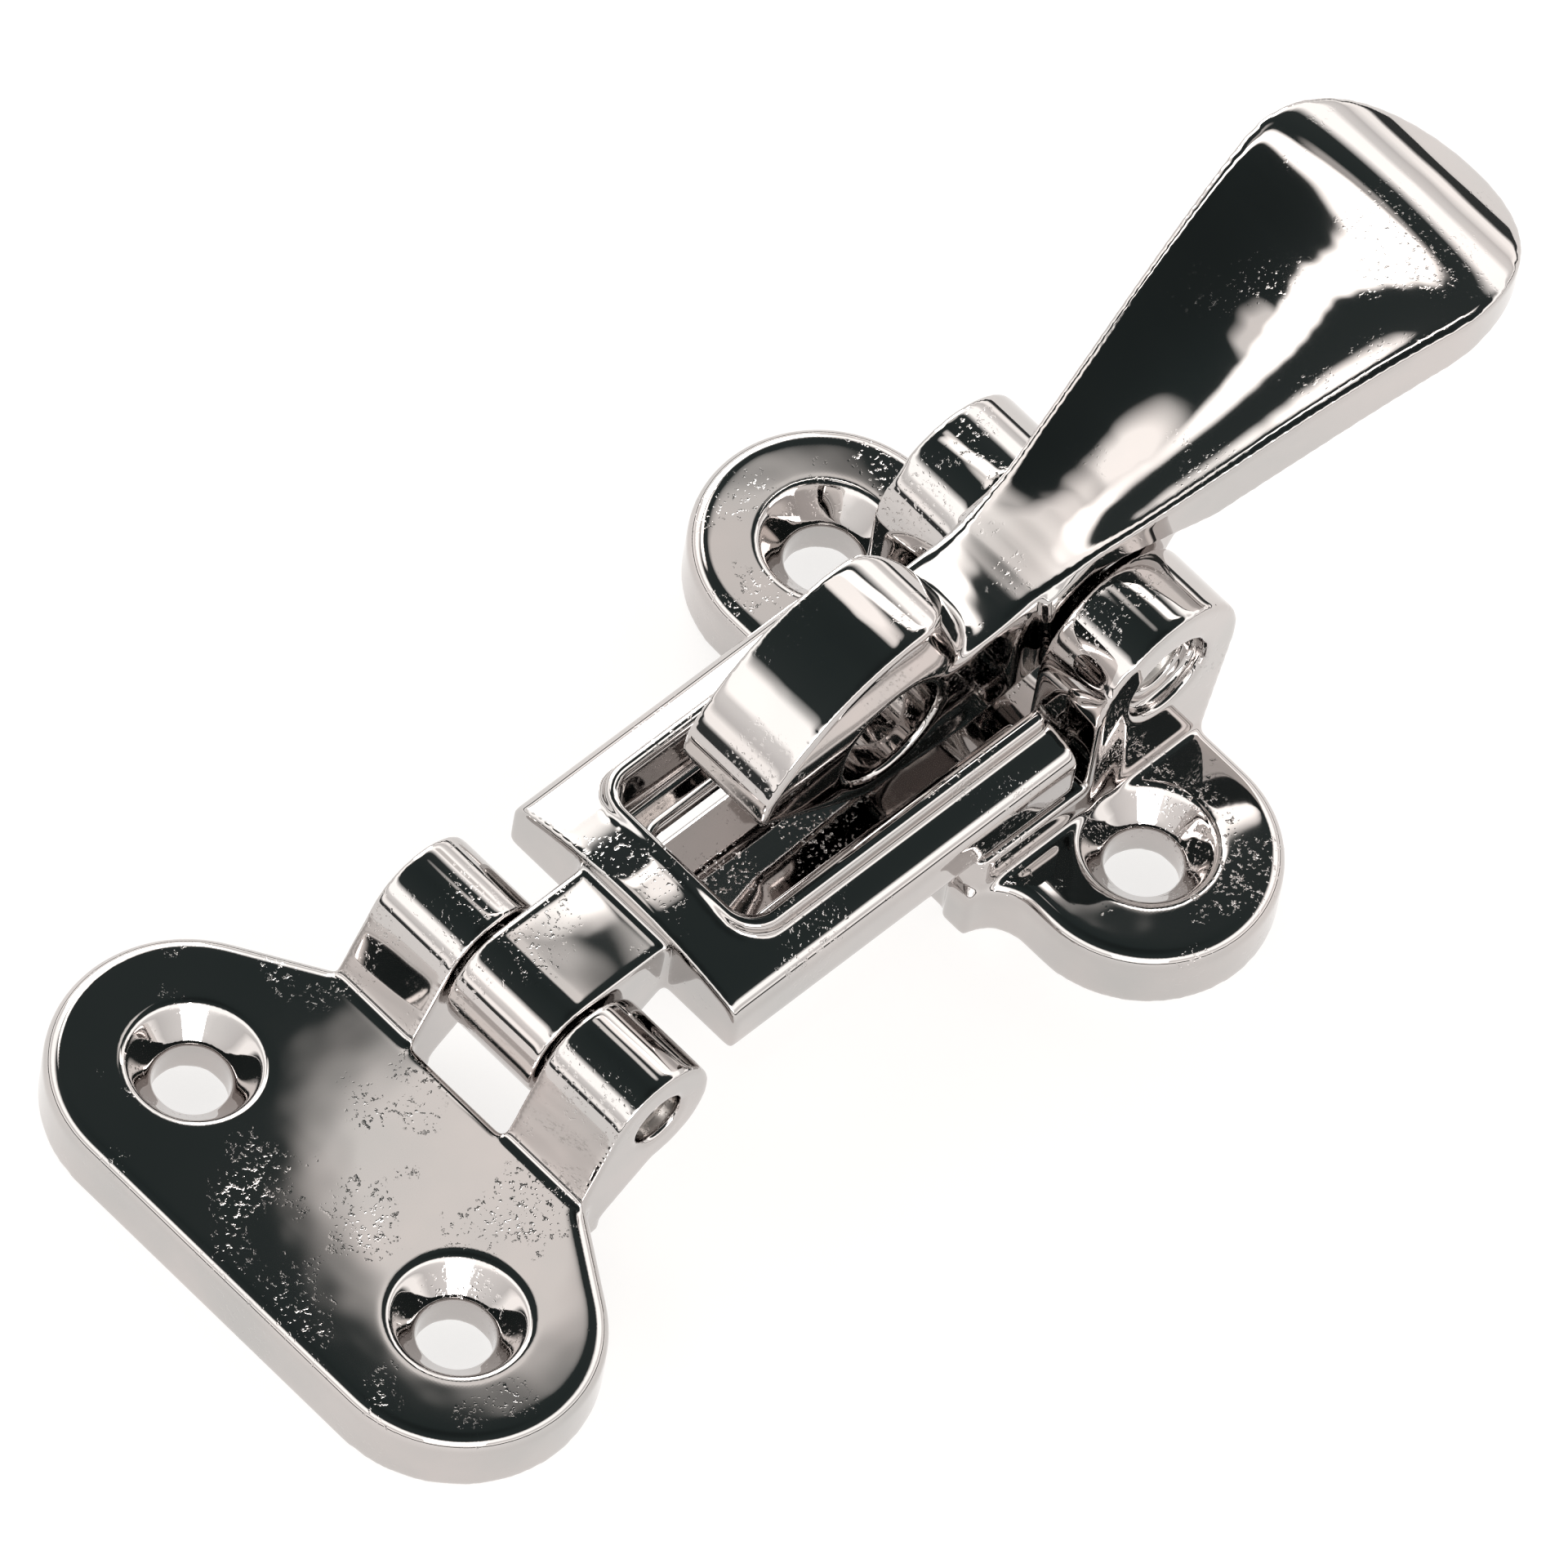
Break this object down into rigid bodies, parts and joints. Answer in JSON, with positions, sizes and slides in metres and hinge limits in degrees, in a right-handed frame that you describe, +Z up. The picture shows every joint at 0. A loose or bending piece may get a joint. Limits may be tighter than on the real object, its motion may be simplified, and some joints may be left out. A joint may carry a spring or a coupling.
{
  "type": "hold-down hatch fastener",
  "caption": "Chrome hold-down hatch fastener: hinged slotted strap over a screwed base, with a spoon-handled lever whose hooked nose carries a padlock eye.",
  "frame": {"origin": "on the mounting surface, midway between the two ear holes of the lever base", "axes": "+X from the hinge plate to the handle, +Y across the fastener, +Z up, away from the mounting surface"},
  "size_m": [0.0998, 0.0444, 0.0286],
  "materials": {
    "chrome_casting": "polished chrome plate on a brass casting",
    "pin_steel": "turned steel"
  },
  "bodies": {
    "base": {"lever_base": "chrome_casting", "lever_pin": "pin_steel", "hinge_plate": "chrome_casting", "hinge_pin": "pin_steel"},
    "strap": {"strap": "chrome_casting"},
    "lever": {"lever": "chrome_casting"}
  },
  "joints": [
    {"name": "strap_swing", "type": "hinge", "parent": "base", "child": "strap", "pos_m": [-0.0372, 0, 0.008], "axis": [0, -1, 0], "range_deg": [0, 100]},
    {"name": "lever_swing", "type": "hinge", "parent": "base", "child": "lever", "pos_m": [0.0043, 0, 0.0134], "axis": [0, -1, 0], "range_deg": [0, 26]}
  ]
}
